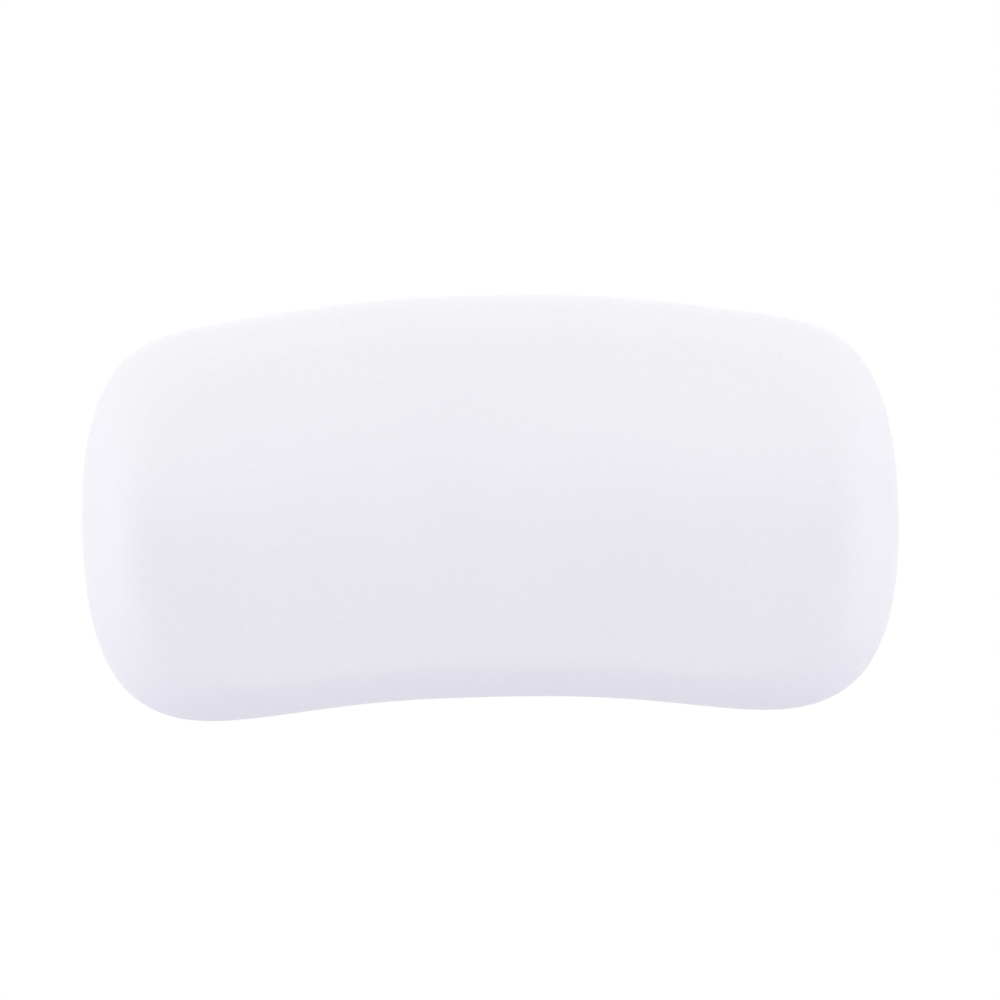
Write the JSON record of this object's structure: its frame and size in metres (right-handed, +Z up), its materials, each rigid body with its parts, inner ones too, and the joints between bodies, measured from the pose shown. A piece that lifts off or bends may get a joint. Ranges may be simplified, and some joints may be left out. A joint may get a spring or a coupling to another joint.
{
  "type": "bath pillow",
  "caption": "Moulded bath pillow: a crowned neck cushion with a leaning upper face, hung by keyhole sockets on the studs of suction cups that hold to a tub wall.",
  "frame": {"origin": "on the plane of the tub wall that the rims of the suction cups meet, midway between the two cups at the height where their studs are locked in the keyholes", "axes": "+X across the pillow to the right as seen from the front, +Y into the tub wall so that the face for the neck looks along -Y, +Z up"},
  "size_m": [0.29, 0.0688, 0.1493],
  "materials": {
    "skin": "satin",
    "foam": "matte",
    "carrier": "satin",
    "cap": "matte",
    "socket": "satin",
    "stud": "satin",
    "cup": "gloss"
  },
  "bodies": {
    "pillow": {"front_skin": "skin", "rear_skin": "skin", "foam_core": "foam", "carrier_plate": "carrier", "left_foam_cap": "cap", "right_foam_cap": "cap", "left_socket": "socket", "right_socket": "socket"},
    "left_stud": {"left_cup_stud": "stud"},
    "right_stud": {"right_cup_stud": "stud"},
    "left_cup": {"left_suction_cup": "cup"},
    "right_cup": {"right_suction_cup": "cup"}
  },
  "joints": [
    {"name": "left_stud_slide", "type": "slide", "parent": "pillow", "child": "left_stud", "axis": [0, 0, 1], "range_m": [-0.014, 0]},
    {"name": "left_cup_spin", "type": "hinge", "parent": "left_stud", "child": "left_cup", "pos_m": [-0.072, 0, 0], "axis": [0, 1, 0], "continuous": true},
    {"name": "right_stud_slide", "type": "slide", "parent": "pillow", "child": "right_stud", "axis": [0, 0, 1], "range_m": [-0.014, 0]},
    {"name": "right_cup_spin", "type": "hinge", "parent": "right_stud", "child": "right_cup", "pos_m": [0.072, 0, 0], "axis": [0, 1, 0], "continuous": true}
  ]
}
